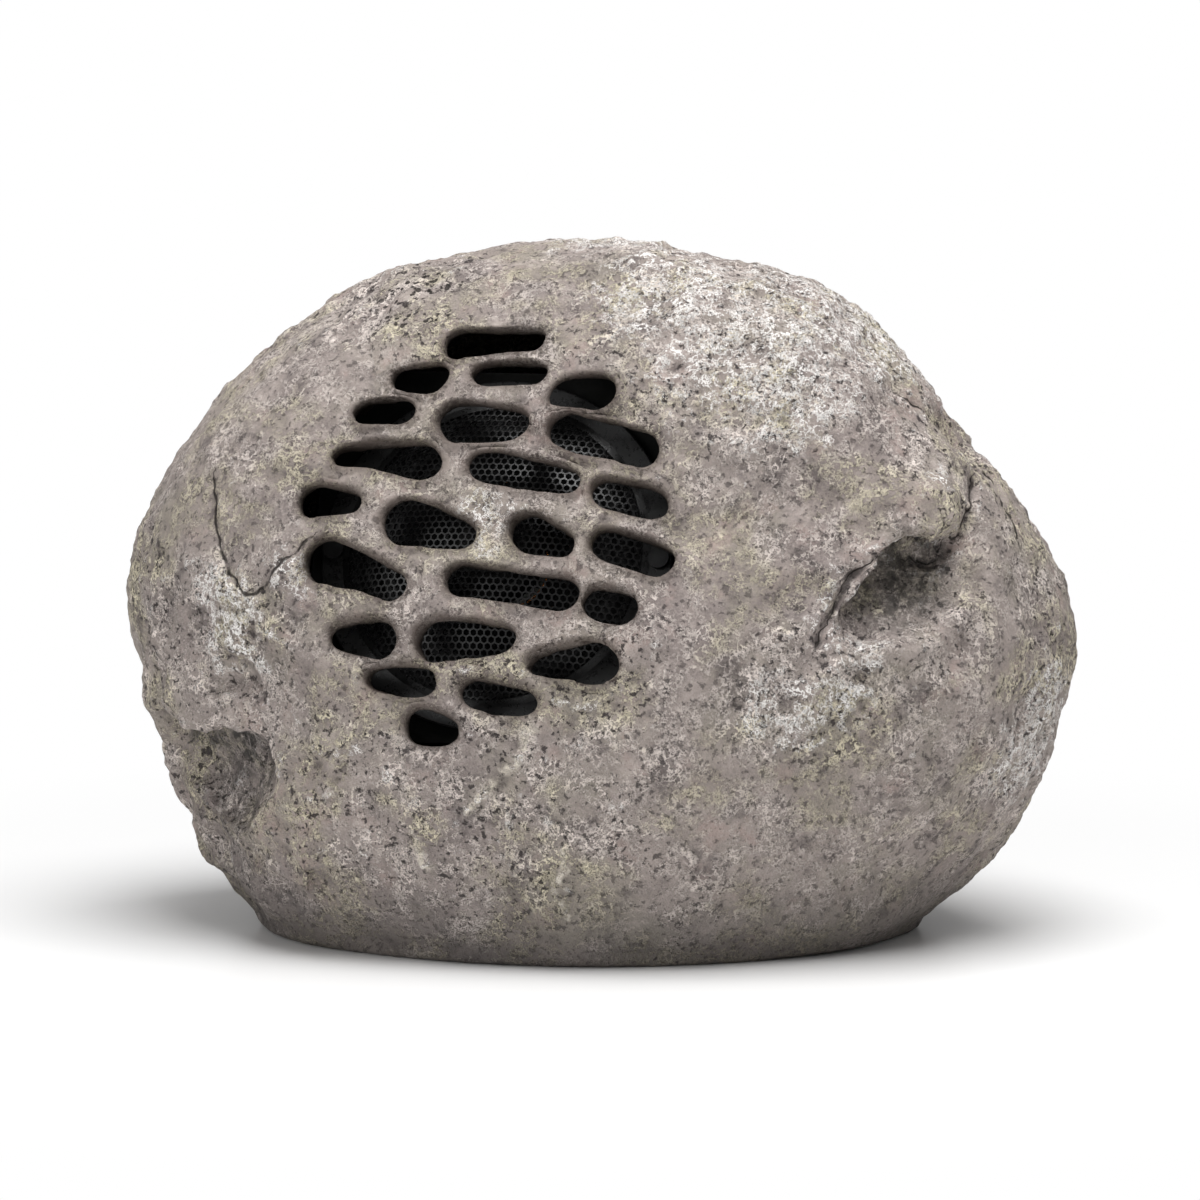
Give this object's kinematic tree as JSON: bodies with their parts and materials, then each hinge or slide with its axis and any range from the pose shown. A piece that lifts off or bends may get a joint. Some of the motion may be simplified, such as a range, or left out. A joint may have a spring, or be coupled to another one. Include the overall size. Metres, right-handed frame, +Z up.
{
  "type": "rock shaped garden speaker",
  "caption": "Hollow cast boulder with a grille of slanted slots, a coaxial loudspeaker behind a black mesh, a flat base and a cable gland low at the back.",
  "frame": {"origin": "bottom centre of the boulder's bounding box, on the surface that it stands on", "axes": "+Z up, +X along the boulder's width, the grille faces -Y and the cable gland +Y"},
  "size_m": [0.2993, 0.2018, 0.213],
  "materials": {
    "rock": "matte painted casting, taupe with dark pits and pale dry-brushed high spots",
    "mesh_paint": "black powder coat on perforated sheet",
    "board_black": "black moulded board",
    "screw_steel": "stainless steel",
    "screw_black": "black coated steel",
    "foam_rubber": "closed cell foam",
    "basket_paint": "black painted pressed steel",
    "butyl_rubber": "smooth butyl rubber",
    "cone_plastic": "dark grey polypropylene",
    "copper": "enamelled copper wire",
    "spider_cloth": "resin dipped ochre cloth",
    "motor_steel": "zinc plated steel",
    "ferrite": "dark sintered ferrite",
    "tweeter_plastic": "black moulding",
    "dome_cloth": "coated dark cloth",
    "tag_board": "brown laminated strip",
    "brass": "plain brass",
    "lead_sheath": "black soft sheath",
    "circuit_board": "green board",
    "bobbin_plastic": "black moulding",
    "capacitor_sleeve": "dark blue sleeve",
    "cement": "white cement",
    "terminal_plastic": "green moulding",
    "base_plastic": "dark grey grained moulding",
    "gland_plastic": "black nylon"
  },
  "bodies": {
    "rock": {"rock_shell": "rock", "mesh_grille": "mesh_paint", "baffle_plate": "board_black", "baffle_screws": "screw_steel", "driver_gasket": "foam_rubber", "driver_frame": "basket_paint", "driver_screws": "screw_black", "surround": "butyl_rubber", "spider": "spider_cloth", "top_plate": "motor_steel", "magnet": "ferrite", "yoke": "motor_steel", "tweeter_post": "motor_steel", "tweeter_housing": "tweeter_plastic", "tweeter_magnet": "ferrite", "tweeter_dome": "dome_cloth", "tweeter_face": "tweeter_plastic", "terminal_strip": "tag_board", "solder_tags": "brass", "speaker_lead": "lead_sheath", "tweeter_lead": "lead_sheath", "crossover_board": "circuit_board", "board_screws": "screw_steel", "inductor_bobbin": "bobbin_plastic", "inductor_winding": "copper", "capacitors": "capacitor_sleeve", "resistor": "cement", "input_terminal": "terminal_plastic", "base_plate": "base_plastic", "base_seal": "foam_rubber", "base_screws": "screw_steel", "gland_body": "gland_plastic", "gland_nut": "gland_plastic", "gland_cap": "gland_plastic", "gland_seal": "butyl_rubber"},
    "cone_assembly": {"cone": "cone_plastic", "voice_coil": "copper"}
  },
  "joints": [
    {"name": "cone_travel", "type": "slide", "parent": "rock", "child": "cone_assembly", "axis": [0, -0.9272, 0.3746], "range_m": [-0.0015, 0.0015], "stiffness_N_per_m": 1500, "deforming": ["surround", "spider"]}
  ]
}
